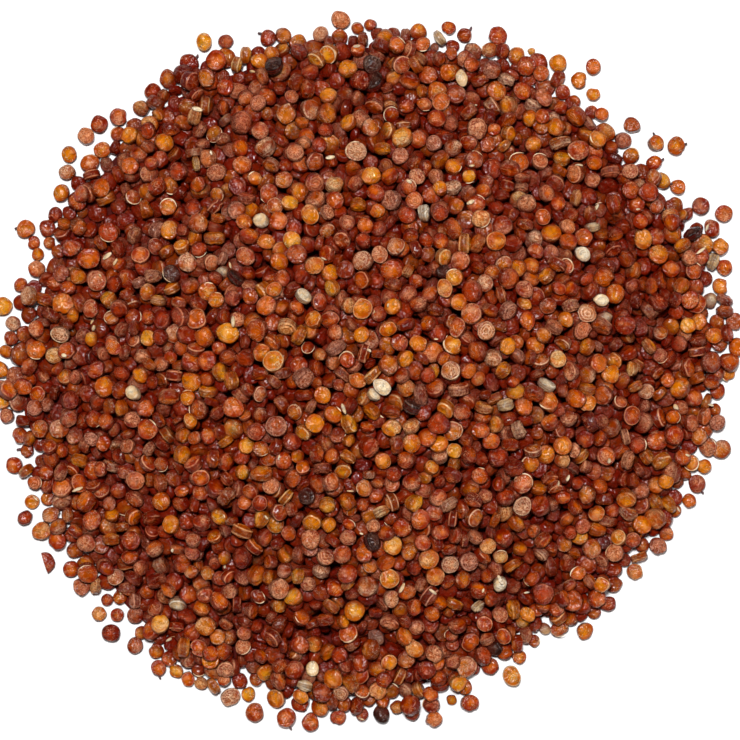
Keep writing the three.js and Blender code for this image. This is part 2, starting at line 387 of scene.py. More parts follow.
def settle(grains, core, steps, sink):
    """Lets the grains sink towards the core while they push each other, and it, apart."""
    place, turn, half, free = grains["place"], grains["turn"], grains["half"], grains["free"]
    own, radii = balls_of(half)
    size = radii.ravel()
    count = len(place)
    arm_square = ((half[:, :2].mean(1) - RIM_BALL * half[:, 2]) ** 2)[:, None]
    down = -core.normal(place[:, 0], place[:, 1])
    # A held grain keeps its place seen from above, but rises and sinks like any other.
    give = np.stack([free, free, np.ones(count)], 1)
    for step in range(steps):
        place += down * give * (sink * (1 - step / steps) ** SINK_FADE)
        balls = place[:, None] + np.einsum("nij,nkj->nki", turn, own)
        if step % LOOK_EVERY == 0:
            first, second = neighbour_balls(place, balls, radii)
        flat = balls.reshape(-1, 3)
        gap = flat[first] - flat[second]
        distance = np.sqrt((gap ** 2).sum(1)) + 1e-9
        overlap = size[first] + size[second] - distance
        hit = overlap > 0
        one, two = first[hit], second[hit]
        push = gap[hit] * (overlap[hit] / distance[hit])[:, None]
        grain_one, grain_two = one // BALLS, two // BALLS
        share = free[grain_one] / (free[grain_one] + free[grain_two])
        ground = core.at(flat[:, 0], flat[:, 1])
        deep = np.nonzero(ground + size - flat[:, 2] > 0)[0]
        rise = core.normal(flat[deep, 0], flat[deep, 1])
        rise *= ((ground + size - flat[:, 2])[deep] * rise[:, 2])[:, None]
        who = np.concatenate([grain_one, grain_two, deep // BALLS])
        where = flat[np.concatenate([one, two, deep])]
        move = np.concatenate([push * share[:, None], -push * (1 - share)[:, None], rise])
        twist = np.cross(where - place[who], move)
        touches = np.maximum(np.bincount(who, minlength=count), 1)[:, None]
        shift = np.stack([np.bincount(who, move[:, k], count) for k in range(3)], 1)
        spin = np.stack([np.bincount(who, twist[:, k], count) for k in range(3)], 1)
        place += PUSH * shift / touches * give
        turn[:] = small_turn(TWIST * spin / (touches * arm_square) * free[:, None]) @ turn


# ---------------- placing the grains

def edge_rows():
    """Each grain read off the edge: its kind, pixels across and down, width, spin and lean."""
    for kind, spots in STANDING_GRAINS.items():
        for across, down, way in spots:
            yield kind, across, down, USUAL_WIDTH, math.radians(way - 90), STANDING_LEAN
    for kind, spots in EDGE_GRAINS.items():
        for across, down, *width in spots:
            lean = abs(rng.normal(0, EDGE_LEAN_SPREAD))
            yield kind, across, down, width[0] if width else USUAL_WIDTH, rng.uniform(0, FULL_TURN), lean


def read_grains(core):
    """The grains that were read off the edge, each a little free to give way."""
    places, halves, turns, kinds = [], [], [], []
    for kind, across, down, width, spin, lean in edge_rows():
        x, y = on_floor(across, down)
        radius = width * MM_PER_PIXEL / 2
        side = radius * rng.uniform(*EDGE_OVAL)
        thick = min(radius, THICKEST_FROM) * rng.uniform(*THICKNESS_SHARE)
        stands = lean == STANDING_LEAN
        z = float(core.at(np.array([x]), np.array([y]))[0]) + (radius if stands else thick)
        for other in places:
            if math.hypot(other[0] - x, other[1] - y) < EDGE_NEAR:
                z = max(z, other[2] + EDGE_LIFT)
        places.append((x, y, z))
        halves.append((radius, side, thick))
        turns.append((spin, lean, rng.uniform(0, FULL_TURN)))
        kinds.append(KIND_NAMES.index(kind))
    return {
        "place": np.array(places), "half": np.array(halves), "turn": turned(*np.array(turns).T),
        "free": np.full(len(places), HELD), "kind": np.array(kinds),
    }


def thrown(inside, start, spots, clear):
    """Random places of one layer, each well apart from the others and clear of the given spots."""
    x, y = (rng.uniform(-half, half, TRIES) for half in TRIED_HALF)
    within = inside.at(x, y)
    x, y, within = (values[within > start] for values in (x, y, within))
    least = np.where(within < EDGE_BELT, APART_AT_EDGE, APART) ** 2
    taken = np.zeros((len(spots) + len(x), 2))
    taken[:len(spots)] = spots
    count = len(spots)
    for place, limit in zip(np.stack([x, y], 1), least):
        away = ((taken[:count] - place) ** 2).sum(1)
        if (away[len(spots):] > limit).all() and (away[:len(spots)] > clear ** 2).all():
            taken[count] = place
            count += 1
    return taken[len(spots):count].T


def poured_grains(top, core, inside, keep_off):
    """Grains in loose layers over the core, before they settle, clear of the places to keep off."""
    places = []
    for layer in range(LAYERS):
        start = EDGE_KEEP + LAYER_INSET * layer
        x, y = thrown(inside, start, keep_off[:, :2], CLEAR[min(layer, 1)])
        least = EDGE_DEPTH + EDGE_RISE * (inside.at(x, y) - EDGE_KEEP)
        depth = np.maximum(top.at(x, y) - core.at(x, y), least)
        wanted = np.clip((depth - layer * LAYER_STEP) / LAYER_STEP + LAYER_SPARE, 0, LAYER_FULL)
        kept = rng.random(x.size) < wanted
        x, y = x[kept], y[kept]
        jitter = rng.uniform(-LAYER_JITTER, LAYER_JITTER, x.size)
        z = core.at(x, y) + LAYER_START + layer * LAYER_STEP + jitter
        places.append(np.stack([x, y, z], 1))
    place = np.concatenate(places)
    count = len(place)
    radius = np.clip(rng.normal(GRAIN_RADIUS, RADIUS_SPREAD, count), *RADIUS_LIMITS)
    oval = 1 - np.abs(rng.normal(0, OVAL_SPREAD, count))
    half = np.stack([radius, radius * oval, radius * rng.uniform(*THICKNESS_SHARE, count)], 1)
    lean = np.abs(rng.normal(0, LEAN_SPREAD, count))
    edge_on = rng.random(count) < EDGE_ON_SHARE
    lean[edge_on] = rng.uniform(*EDGE_ON_LEANS, edge_on.sum())
    turn = turned(rng.uniform(0, FULL_TURN, count), lean, rng.uniform(0, FULL_TURN, count))
    kind = np.full(count, POURED)
    return {"place": place, "half": half, "turn": turn, "free": np.ones(count), "kind": kind}


# ---------------- what can be seen

SURFACE_POINTS = 96         # points that stand for one grain's surface


def ball_points():
    """Points spread evenly over a unit ball."""
    index = np.arange(SURFACE_POINTS) + 0.5
    z = 1 - 2 * index / SURFACE_POINTS
    angle = index * math.pi * (3 - math.sqrt(5))
    flat = np.sqrt(1 - z ** 2)
    return np.stack([flat * np.cos(angle), flat * np.sin(angle), z], 1)


def surface_points(grains):
    shape = ball_points()[None] * grains["half"][:, None]
    return grains["place"][:, None] + np.einsum("nij,nkj->nki", grains["turn"], shape)


def points_seen(world, azimuth, elevation, cell=0.3, slack=0.25):
    """How many of each grain's points nothing hides, looking from one side, in degrees."""
    a, e = math.radians(azimuth), math.radians(elevation)
    back = np.array([math.sin(a) * math.cos(e), -math.cos(a) * math.cos(e), math.sin(e)])
    right = np.array([math.cos(a), math.sin(a), 0])
    over = np.cross(back, right)
    flat = world.reshape(-1, 3)
    u, v, depth = flat @ right, flat @ over, flat @ back
    column = np.floor((u - u.min()) / cell).astype(int)
    row = np.floor((v - v.min()) / cell).astype(int)
    key = column * (row.max() + 1) + row
    nearest = np.full(key.max() + 1, -1e9)
    np.maximum.at(nearest, key, depth)
    owner = np.repeat(np.arange(len(world)), world.shape[1])
    return np.bincount(owner[depth > nearest[key] - slack], minlength=len(world))


LOW_VIEW = 22               # how high the views from around look down from, in degrees
SEEN_ABOVE = 2              # a grain shows if more of its points than this are seen from above,
SEEN_AROUND = 5             # or than this from around


def seen_share(grains):
    """How much of each grain shows from above, and whether it shows from any side at all."""
    world = surface_points(grains)
    above = points_seen(world, 0, 90)
    around = sum(points_seen(world, azimuth, LOW_VIEW) for azimuth in range(0, 360, 45))
    return above / (SURFACE_POINTS / 2), (above > SEEN_ABOVE) | (around > SEEN_AROUND)


def roof_of(grains, cell=0.6):
    """A smoothed surface that lies over the grains, from which the depth of every point is measured."""
    points = surface_points(grains).reshape(-1, 3)
    corner = points[:, :2].min(0) - 3 * cell
    place = ((points[:, :2] - corner) / cell).astype(int)
    heights = np.zeros(place.max(0) + 6)
    np.maximum.at(heights, tuple(place.T), points[:, 2])
    for axis in (0, 1):
        heights = np.max([np.roll(heights, step, axis) for step in (-1, 0, 1)], 0)
    return HeightField(blurred(heights, 2.0), corner + cell / 2, cell)


def grains_at(grains, spots, usable):
    """For each pixel read off the picture, the usable grain that lies nearest to it."""
    found = []
    for spot in spots:
        x, y = on_floor(*spot)
        away = np.hypot(grains["place"][:, 0] - x, grains["place"][:, 1] - y)
        found.append(int(np.argmin(np.where(usable, away, 1e9))))
        usable[found[-1]] = False
    return found


# ---------------- grain shapes

# A grain's outline in section, from one face's middle to the other's: distance from its axis and
# height, as shares of its radius and of half its thickness. A groove runs round each face, and two
# ridges round the rim.
FINE_PROFILE = (
    (0.36, 1.0), (0.60, 0.94), (0.74, 0.77), (0.86, 0.74), (0.975, 0.46), (0.965, 0.0),
    (0.975, -0.46), (0.84, -0.76), (0.5, -0.94),
)
COARSE_PROFILE = ((0.55, 0.95), (0.82, 0.74), (0.965, 0.42), (0.97, 0.0), (0.94, -0.5), (0.6, -0.92))
FINE_SEGMENTS = 20
COARSE_SEGMENTS = 16
UV_REACH = 0.46             # a face's radius in its own square cell of the UV map
PATH_STEP = 0.55            # how much of a path over a grain a step of its height is worth
WAVES = np.array([0.035, 0.024, 0.018, 0.014, 0.013])   # round the outline: twice, three times and on
NOTCHED_SHARE = 0.22        # share of the grains with a deep notch in the rim,
HORNED_SHARE = 0.2          # and of those with a beak beside it
BEAK_OFF = 2.2              # a beak's distance from the notch's middle, in widths of the notch,
BEAK_WIDTH = 0.22           # and its own width, in radians
DISH_REACH = 0.66           # how far out a face's hollow goes, as a share of the radius,
GROOVE_REACH = 0.75         # and where the groove round it lies,
GROOVE_WIDTH = 0.08         # and how wide that is
LUMPS = 3                   # sets of waves that make a face uneven
LUMP_STEP = 3.8             # and how fast their lumps follow each other


def polar_faces(rings, segments):
    """The corners of a closed mesh's faces, row by row from one pole over the rings to the other."""
    step = np.arange(segments)
    after = (step + 1) % segments
    rows = []
    for ring in range(-1, rings):
        here, there = 1 + ring * segments, 1 + (ring + 1) * segments
        if ring < 0:
            corners = [0 * step, there + step, there + after]
        elif ring == rings - 1:
            corners = [here + step, 0 * step + there, here + after]
        else:
            corners = [here + step, there + step, there + after, here + after]
        rows.append(np.stack(corners, 1))
    return rows


def loops_and_totals(rows):
    """All the faces' corners in one list, and how many corners each face has."""
    totals = [np.full(len(row), row.shape[1]) for row in rows]
    return np.concatenate([row.ravel() for row in rows]), np.concatenate(totals)


class Lens:
    """A closed polar mesh in unit lengths, which every grain is shaped from."""

    def __init__(self, profile, segments):
        reach, height = np.array(profile).T
        angle = np.arange(segments) * FULL_TURN / segments
        self.rho = np.concatenate([[0], np.repeat(reach, segments), [0]])
        self.height = np.concatenate([[1], np.repeat(height, segments), [-1]])
        self.theta = np.concatenate([[0], np.tile(angle, len(profile)), [0]])
        self.count = len(self.rho)
        rows = polar_faces(len(profile), segments)
        above = [True, *(height > 0)]
        self.loops, self.totals = loops_and_totals(rows)
        self.upper = np.concatenate([np.full(row.size, up) for row, up in zip(rows, above)])
        self.uv = self.face_maps(reach, height, segments)

    def directions(self):
        """Which way each point lies from the axis, as a unit vector, with its height."""
        return np.stack([np.cos(self.theta), np.sin(self.theta), 0.5 * self.height], 1)[None]

    def face_maps(self, reach, height, segments):
        """Each corner's place on a disc for its own half of the grain, with the middle at 0, 0."""
        down = PATH_STEP * np.diff(height, prepend=1)
        up = PATH_STEP * np.diff(height, append=-1)
        path = np.hypot(np.diff(reach, prepend=0), down).cumsum()
        back = np.hypot(np.diff(reach, append=0), up)[::-1].cumsum()[::-1]
        equator = int(np.argmin(np.abs(height)))
        out_upper = np.concatenate([[0], np.repeat(path / path[equator], segments), [0]])
        out_lower = np.concatenate([[0], np.repeat(back / back[equator], segments), [0]])
        out = np.where(self.upper, out_upper[self.loops], out_lower[self.loops]) * UV_REACH
        angle = self.theta[self.loops]
        return np.stack([out * np.cos(angle), out * np.sin(angle)], 1)


FINE = Lens(FINE_PROFILE, FINE_SEGMENTS)
COARSE = Lens(COARSE_PROFILE, COARSE_SEGMENTS)


def forms(count, wrinkled):
    """What makes each grain's shape its own. Wrinkled runs from 0, plump and smooth, to 1."""
    rough = wrinkled[:, None]
    deep = rng.random((count, 1)) < NOTCHED_SHARE
    horned = rng.random((count, 1)) < HORNED_SHARE
    return {
        "waves": rng.normal(0, 1, (count, 1, len(WAVES))) * WAVES,
        "wave_at": rng.uniform(0, FULL_TURN, (count, 1, len(WAVES))),
        "notch": np.where(deep, rng.uniform(0.10, 0.26, (count, 1)), rng.uniform(0, 0.05, (count, 1))),
        "notch_at": rng.uniform(0, FULL_TURN, (count, 1)),
        "notch_width": rng.uniform(0.14, 0.34, (count, 1)),
        "beak": np.where(horned, rng.uniform(0.06, 0.18, (count, 1)), 0.0),
        "furrow": np.clip(rng.normal(0.12, 0.18, (count, 1)), 0, 0.6),
        "dish": rng.normal(0.05, 0.15, (count, 1)) + 0.08 * rough,
        "groove": np.clip(rng.normal(0.07, 0.09, (count, 1)) + 0.04 * rough, 0, 0.34),
        "wedge": rng.normal(0, 0.12, (count, 1)),
        "lump": 0.015 + 0.03 * rng.random((count, 1)) + 0.08 * rough,
        "lump_way": rng.normal(0, LUMP_STEP, (count, LUMPS, 2)),
        "lump_at": rng.uniform(0, FULL_TURN, (count, LUMPS)),
    }


def shaped(lens, half, form):
    """Every grain's points in its own axes, in mm."""
    theta, rho, height = lens.theta[None], lens.rho[None], lens.height[None]
    times = np.arange(2, 2 + len(WAVES))
    waves = form["waves"] * np.cos(times * (theta[..., None] - form["wave_at"]))
    off = (theta - form["notch_at"] + np.pi) % FULL_TURN - np.pi
    bite = np.exp(-(off / form["notch_width"]) ** 2)
    beak = np.exp(-((off - BEAK_OFF * form["notch_width"]) / BEAK_WIDTH) ** 2)
    outline = waves.sum(2) + form["beak"] * beak - form["notch"] * bite
    out = rho * (1 + outline * rho ** 2)
    x, y = out * np.cos(theta), out * np.sin(theta)
    bulge = 1 - form["dish"] * np.clip(1 - (rho / DISH_REACH) ** 2, 0, 1)
    bulge = bulge * (1 - form["furrow"] * bite * np.clip((rho - 0.15) / 0.6, 0, 1))
    bulge = bulge * (1 - form["groove"] * np.exp(-((rho - GROOVE_REACH) / GROOVE_WIDTH) ** 2))
    bulge = bulge * (1 + form["wedge"] * x)
    lumps = 0
    for k in range(LUMPS):
        across, along = form["lump_way"][:, k, :1], form["lump_way"][:, k, 1:]
        lumps = lumps + np.sin(across * x + along * y + form["lump_at"][:, k, None] + 2 * np.sign(height))
    z = height * bulge + form["lump"] * lumps * np.clip(1.15 - rho, 0, 1)
    return np.stack([x, y, z], 2) * half[:, None]


# ---------------- meshes

def placed(name, data):
    """An object of the scene that holds a mesh, a light or a camera."""
    made = bpy.data.objects.new(name, data)
    bpy.context.scene.collection.objects.link(made)
    return made


def make_mesh(name, points, loops, totals, material, uv=None, values=()):
    """A mesh object from arrays, in mm, with an optional UV map and point values for its material."""
    mesh = bpy.data.meshes.new(name)
    mesh.vertices.add(len(points))
    mesh.vertices.foreach_set("co", (points * METRES).astype(np.float32).ravel())
    mesh.loops.add(len(loops))
    mesh.loops.foreach_set("vertex_index", loops.astype(np.int32))
    mesh.polygons.add(len(totals))
    mesh.polygons.foreach_set("loop_start", (np.cumsum(totals) - totals).astype(np.int32))
    mesh.polygons.foreach_set("loop_total", totals.astype(np.int32))
    mesh.polygons.foreach_set("use_smooth", np.ones(len(totals), bool))
    if uv is not None:
        layer = mesh.uv_layers.new(name="OFBake")
        layer.data.foreach_set("uv", uv.astype(np.float32).ravel())
    for key, value in values:
        vector = value.ndim == 2
        attribute = mesh.attributes.new(key, "FLOAT_VECTOR" if vector else "FLOAT", "POINT")
        attribute.data.foreach_set("vector" if vector else "value", value.astype(np.float32).ravel())
    mesh.update(calc_edges=True)
    mesh.materials.append(material)
    return placed(name, mesh)


def declare(piece, slot, *nodes):
    """Hangs a piece under the root and hides the solids it takes the place of; the slot, what it is made of,
    is not used. Nothing moves.
    """
    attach(piece, "root")
    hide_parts(*nodes)


LOOKS = ("tint", "frost", "rim", "swirl")   # what a material reads that is one number for each grain
APART_IN_NOISE = 50         # how far off each grain's own piece of a noise starts, at most


def grain_piece(name, grains, which, fine, looks, material, roof=None, change=None):
    """One piece of many grains: the chosen ones, joined, each with a shape of its own."""
    parts = []
    cells = math.ceil(math.sqrt(2 * len(which)))
    used = 0
    start = 0
    for lens, chosen in ((FINE, which[fine[which]]), (COARSE, which[~fine[which]])):
        count = len(chosen)
        if not count:
            continue
        form = forms(count, looks["wrinkled"][chosen])
        own = shaped(lens, grains["half"][chosen], {**form, **(change or {})})
        world = grains["place"][chosen][:, None] + np.einsum("nij,nkj->nki", grains["turn"][chosen], own)
        x, y, z = np.moveaxis(world, 2, 0)
        base = start + np.arange(count)[:, None] * lens.count
        cell = used + 2 * np.arange(count)[:, None] + np.where(lens.upper, 0, 1)
        corner = np.stack([cell % cells + 0.5, cell // cells + 0.5], 2)
        starts = rng.uniform(-APART_IN_NOISE, APART_IN_NOISE, (2, count, 1, 3))
        parts.append({
            "points": world.reshape(-1, 3),
            "loops": (base + lens.loops).ravel(),
            "totals": np.tile(lens.totals, count),
            "uv": ((corner + lens.uv) / cells).reshape(-1, 2),
            "spot": (own + starts[0]).reshape(-1, 3),
            "around": (lens.directions() + starts[1]).reshape(-1, 3),
            "reach": np.tile(lens.rho, count),
            "side": np.tile(lens.height, count),
            "depth": (roof.at(x, y) - z if roof else 0 * z).ravel(),
            **{key: np.repeat(looks[key][chosen], lens.count) for key in LOOKS},
        })
        used += 2 * count
        start += count * lens.count
    joined = {key: np.concatenate([part[key] for part in parts]) for key in parts[0]}
    values = [(key, joined[key]) for key in ("spot", "around", "reach", "side", "depth", *LOOKS)]
    points, loops, totals = joined["points"], joined["loops"], joined["totals"]
    return make_mesh(name, points, loops, totals, material, joined["uv"], values)


# ---------------- materials

def rgb(text):
    """The linear colour of a hex code."""
    parts = [int(text[i:i + 2], 16) / 255 for i in (1, 3, 5)]
    return tuple(c / 12.92 if c <= 0.04045 else ((c + 0.055) / 1.055) ** 2.4 for c in parts)


class Finish:
    """A Principled material, with short calls for the nodes that feed it."""

    def __init__(self, name):
        self.material = bpy.data.materials.new(name)
        self.material.use_nodes = True
        self.tree = self.material.node_tree
        self.shader = next(n for n in self.tree.nodes if n.type == "BSDF_PRINCIPLED")

    def node(self, kind, **settings):
        made = self.tree.nodes.new(kind)
        for key, value in settings.items():
            setattr(made, key, value)
        return made

    def feed(self, socket, value):
        if isinstance(value, bpy.types.NodeSocket):
            self.tree.links.new(value, socket)
        else:
            socket.default_value = value

    def give(self, **inputs):
        """Feeds the shader's own sockets, named with low lines for blanks."""
        for key, value in inputs.items():
            self.feed(self.shader.inputs[key.replace("_", " ")], value)

    def value(self, name, output="Fac"):
        return self.node("ShaderNodeAttribute", attribute_name=name).outputs[output]

    def place(self):
        """A point's place on the object, in metres."""
        return self.node("ShaderNodeTexCoord").outputs["Object"]

    def noise(self, place, scale, detail=2.0, roughness=0.5, distortion=0.0):
        made = self.node("ShaderNodeTexNoise")
        self.feed(made.inputs["Vector"], place)
        given = {"Scale": scale, "Detail": detail, "Roughness": roughness, "Distortion": distortion}
        for key, number in given.items():
            made.inputs[key].default_value = number
        return made.outputs["Fac"]

    def math(self, operation, a, b=0.0):
        made = self.node("ShaderNodeMath", operation=operation)
        self.feed(made.inputs[0], a)
        self.feed(made.inputs[1], b)
        return made.outputs[0]

    def add(self, a, b):
        return self.math("ADD", a, b)

    def less(self, a, b):
        return self.math("SUBTRACT", a, b)

    def times(self, a, b):
        return self.math("MULTIPLY", a, b)

    def greater(self, a, b):
        return self.math("MAXIMUM", a, b)

    def off(self, value, level):
        """How far a value is from a level."""
        return self.math("ABSOLUTE", self.less(value, level))

    def ramp(self, value, low, high, to_low=0.0, to_high=1.0):
        made = self.node("ShaderNodeMapRange", interpolation_type="SMOOTHSTEP")
        given = {"Value": value, "From Min": low, "From Max": high, "To Min": to_low, "To Max": to_high}
        for key, number in given.items():
            self.feed(made.inputs[key], number)
        return made.outputs[0]

    def mix(self, share, one, two, blend="MIX"):
        made = self.node("ShaderNodeMix", data_type="RGBA", blend_type=blend)
        self.feed(made.inputs["Factor"], share)
        for socket, colour in ((made.inputs[6], one), (made.inputs[7], two)):
            self.feed(socket, (*colour, 1.0) if isinstance(colour, tuple) else colour)
        return made.outputs[2]

    def shade(self, colour, value):
        """The colour, darker or lighter by a value."""
        return self.mix(1.0, colour, value, "MULTIPLY")

    def bump(self, height, distance, normal=None):
        made = self.node("ShaderNodeBump")
        made.inputs["Distance"].default_value = distance * METRES
        self.feed(made.inputs["Height"], height)
        if normal is not None:
            self.feed(made.inputs["Normal"], normal)
        return made.outputs[0]

    def ridges(self, place, scale, distortion=0.0, detail=2.0):
        """Thin bright lines where a noise crosses its middle value."""
        wave = self.noise(place, scale, detail, 0.5, distortion)
        return self.ramp(self.off(wave, 0.5), 0.0, 0.1, 1.0, 0.0)


def wrinkle_lines(f, spot, reach, wander):
    """Folds every way, rings round the axis, and spokes near the rim, as a value from 0 to 1."""
    turns = f.add(f.times(reach, 20.0), f.times(wander, 16.0))
    rings = f.ramp(f.math("SINE", turns), -0.2, 1.0)
    spokes = f.times(f.ridges(f.value("around", "Vector"), 1.7, 0.2, 1.0), f.ramp(reach, 0.35, 0.7))
    swirl = f.value("swirl")
    lines = f.times(f.ridges(spot, 1.45, 1.3), f.less(1.0, swirl))
    lines = f.greater(f.times(rings, swirl), lines)
    lines = f.greater(lines, f.times(spokes, 0.6))
    return f.greater(lines, f.times(f.ridges(spot, 3.1, 0.8), 0.6))


def blotched(f, colours, reach, wander, dents, fine):
    """The face and shoulder colours in blotches, the shoulder partly painted shade, with a painted highlight
    on bumps and painted shade in dents, finely mottled.
    """
    face, shoulder, frost = colours
    # the face colour turns into the shoulder colour outwards, in blotches; the shoulder's darker red is
    # partly the grain's own and partly painted shade on the sloping sides
    out = f.add(f.times(reach, 1.3), f.times(f.less(wander, 0.5), 2.8))
    colour = f.mix(f.ramp(f.less(out, f.value("tint")), -0.35, 0.7), face, shoulder)
    # painted highlight on the bumps of the dents' relief, and painted shade in the dents
    colour = f.mix(f.ramp(dents, 0.5, 0.72, 0.0, 0.2), colour, frost)
    colour = f.shade(colour, f.ramp(dents, 0.25, 0.5, 0.64, 1.0))
    return f.shade(colour, f.ramp(fine, 0.3, 0.7, 0.93, 1.06))


def frosted(f, colour, colours, spot, lines, patch, glint_crease):
    """Frost on the wrinkles inside patches, painted shade in the hollows between them, and a few pale
    creases that are painted glints.
    """
    _, shoulder, frost = colours
    # painted shade: the hollows between the wrinkle lines take the darker shoulder colour
    shaded_hollows = f.times(patch, f.ramp(lines, 0.1, 0.5, 0.4, 0.0))
    colour = f.mix(shaded_hollows, colour, shoulder)
    specks = f.ramp(f.noise(spot, 6.5, 2.0), 0.45, 0.62)
    frosting = f.ramp(f.greater(lines, f.times(specks, 0.3)), 0.1, 0.9, 0.04, 0.75)
    colour = f.mix(f.times(patch, frosting), colour, frost)
    # painted highlight: pale glints along the crease lines
    return f.mix(glint_crease, colour, frost)


def rim_marked(f, colour, colours, spot, reach, wander):
    """The groove round each face, painted shade on the wall, the rim's dark seams, and broken pale ridges
    painted as highlights.
    """
    _, shoulder, frost = colours
    groove = f.times(f.ramp(reach, 0.64, 0.73), f.ramp(reach, 0.76, 0.86, 1.0, 0.0))
    colour = f.mix(f.times(groove, f.ramp(wander, 0.35, 0.65, 0.1, 0.6)), colour, shoulder)
    # painted shade: darker towards the rim and down the wall
    colour = f.shade(colour, f.ramp(reach, 0.84, 1.0, 1.0, 0.6))
    level = f.math("ABSOLUTE", f.value("side"))
    rim = f.ramp(reach, 0.80, 0.90)
    seam = f.ramp(f.off(level, 0.2), 0.02, 0.2, 0.45, 0.0)
    colour = f.mix(f.times(rim, seam), colour, rgb(DEEP))
    # painted highlight: broken pale lines on the rim's ridges, more on grains whose rim look is higher
    ridge_highlight = f.ramp(f.off(level, 0.6), 0.0, 0.18, 1.0, 0.0)
    broken = f.ramp(f.add(f.noise(spot, 1.1, 2.0), f.value("rim")), 0.78, 1.06, 0.0, 0.65)
    return f.mix(f.times(f.times(rim, ridge_highlight), broken), colour, frost)


def coat(name, *codes):
    """A seed coat: one colour on the faces and a darker one round the shoulders, partly painted shade, with
    wrinkled, frosted patches, painted glints on a few creases and painted shade where it lies deep.
    """
    f = Finish(name)
    colours = [rgb(code) for code in codes]
    spot, reach = f.value("spot", "Vector"), f.value("reach")
    wander = f.noise(spot, 0.75, 3.0, 0.5, 0.6)
    dents = f.noise(spot, 1.3, 2.0, 0.45, 0.4)
    fine = f.noise(spot, 5.0, 3.0, 0.6)
    lines = wrinkle_lines(f, spot, reach, wander)
    patch = f.add(f.noise(spot, 0.62, 1.0, 0.5, 0.4), f.less(f.value("frost"), 0.5))
    patch = f.ramp(patch, 0.44, 0.68)
    # thin crease lines, bumped, and painted pale as glints
    glint_crease = f.ramp(f.off(f.noise(spot, 1.15, 2.0, 0.5, 1.4), 0.5), 0.0, 0.03, 1.0, 0.0)
    glint_crease = f.times(glint_crease, f.ramp(wander, 0.42, 0.62, 0.85, 0.0))
    colour = blotched(f, colours, reach, wander, dents, fine)
    colour = frosted(f, colour, colours, spot, lines, patch, glint_crease)
    colour = rim_marked(f, colour, colours, spot, reach, wander)
    # painted shade: the deeper a point lies under the roof over the grains, the more it takes the deep
    # red-brown
    colour = f.mix(f.ramp(f.value("depth"), 0.45, 1.45, 0.0, 0.88), colour, rgb(DEEP))
    relief = f.add(glint_crease, f.times(lines, f.add(f.times(patch, 0.8), 0.1)))
    normal = f.bump(fine, 0.01, f.bump(relief, 0.10, f.bump(dents, 0.35)))
    f.give(Base_Color=colour, Roughness=f.ramp(fine, 0.3, 0.7, 0.13, 0.26), Normal=normal)
    f.give(Specular_IOR_Level=0.28)
    return f.material


def core_finish():
    """Grains too deep to tell apart, painted dark red-brown as the shade they lie in, mottled at the grains'
    size.
    """
    f = Finish("deep_grains")
    mottle = f.noise(f.place(), 480.0, 3.0, 0.6, 0.3)
    f.give(Base_Color=f.mix(f.ramp(mottle, 0.35, 0.65), rgb("#420501"), rgb("#661003")))
    f.give(Normal=f.bump(f.noise(f.place(), 1500.0), 0.05), Roughness=0.7, Specular_IOR_Level=0.1)
    return f.material


def husk_finish():
    """Thin pale skin, with darker streaks."""
    f = Finish("husk")
    streak = f.noise(f.place(), 1400.0, 3.0, 0.6, 0.5)
    f.give(Base_Color=f.mix(f.ramp(streak, 0.35, 0.65), rgb("#c08a5c"), rgb("#f2dcb8")))
    f.give(Normal=f.bump(streak, 0.03), Roughness=0.45)
    return f.material


def stalk_finish():
    """Dry, dark purplish stalk, with a fine grain."""
    f = Finish("stalk")
    grain = f.noise(f.place(), 1800.0)
    f.give(Base_Color=f.mix(f.ramp(grain, 0.35, 0.65), rgb("#2a1216"), rgb("#5a3034")))
    f.give(Normal=f.bump(grain, 0.03), Roughness=0.55)
    return f.material


def floor_finish():
    f = Finish("pale_floor")
    f.give(Base_Color=f.mix(f.noise(f.place(), 90.0), rgb("#fafafb"), rgb("#fdfdfd")), Roughness=0.8)
    return f.material


# ---------------- the parts

def looks_of(kind):
    """How each grain of a list of kinds takes its material."""
    count = len(kind)
    rows = [(row.wrinkled, row.frosted, row.rimmed) for row in KINDS.values()]
    wrinkled, frost, rim = np.array(rows)[kind].T
    return {
        "wrinkled": np.clip(wrinkled + rng.normal(0, 0.2, count), 0, 1),
        "frost": np.clip(frost + rng.normal(0, 0.17, count), 0, 0.8),
        # how much painted highlight each grain's rim ridges get
        "rim": np.clip(rim + rng.normal(0, 0.25, count), 0, 1),
        "tint": rng.uniform(0.15, 0.95, count),
        "swirl": np.clip(rng.normal(0.1, 0.35, count), 0, 1),
    }


CORE_RAYS, CORE_RINGS = 200, 44
CORE_REACH = (15.0, 40.0, 0.25)  # where its outline is looked for along a ray: from, up to and by, mm
CORE_BUMPS = 1700           # over a square that is wider than the core
BUMP_RADIUS = 1.1
BUMP_HEIGHT = 0.8           # on the core's top, which lies lower than the grains by the drop,
CORE_DROP = 0.75
SKIRT_BUMP = 0.35           # and on its skirt, where it is lowest
CORE_SKIRT = 0.1            # the core's least height


def core_outline(inside):
    """How far the core goes along each of its rays, and the rays' angles."""
    angle = np.arange(CORE_RAYS) * FULL_TURN / CORE_RAYS
    reach = np.zeros(CORE_RAYS)
    for distance in np.arange(*CORE_REACH):
        deep = inside.at(distance * np.cos(angle), distance * np.sin(angle)) > CORE_INSET
        reach[deep] = distance
    return np.min([np.roll(reach, step) for step in (-2, -1, 0, 1, 2)], 0), angle


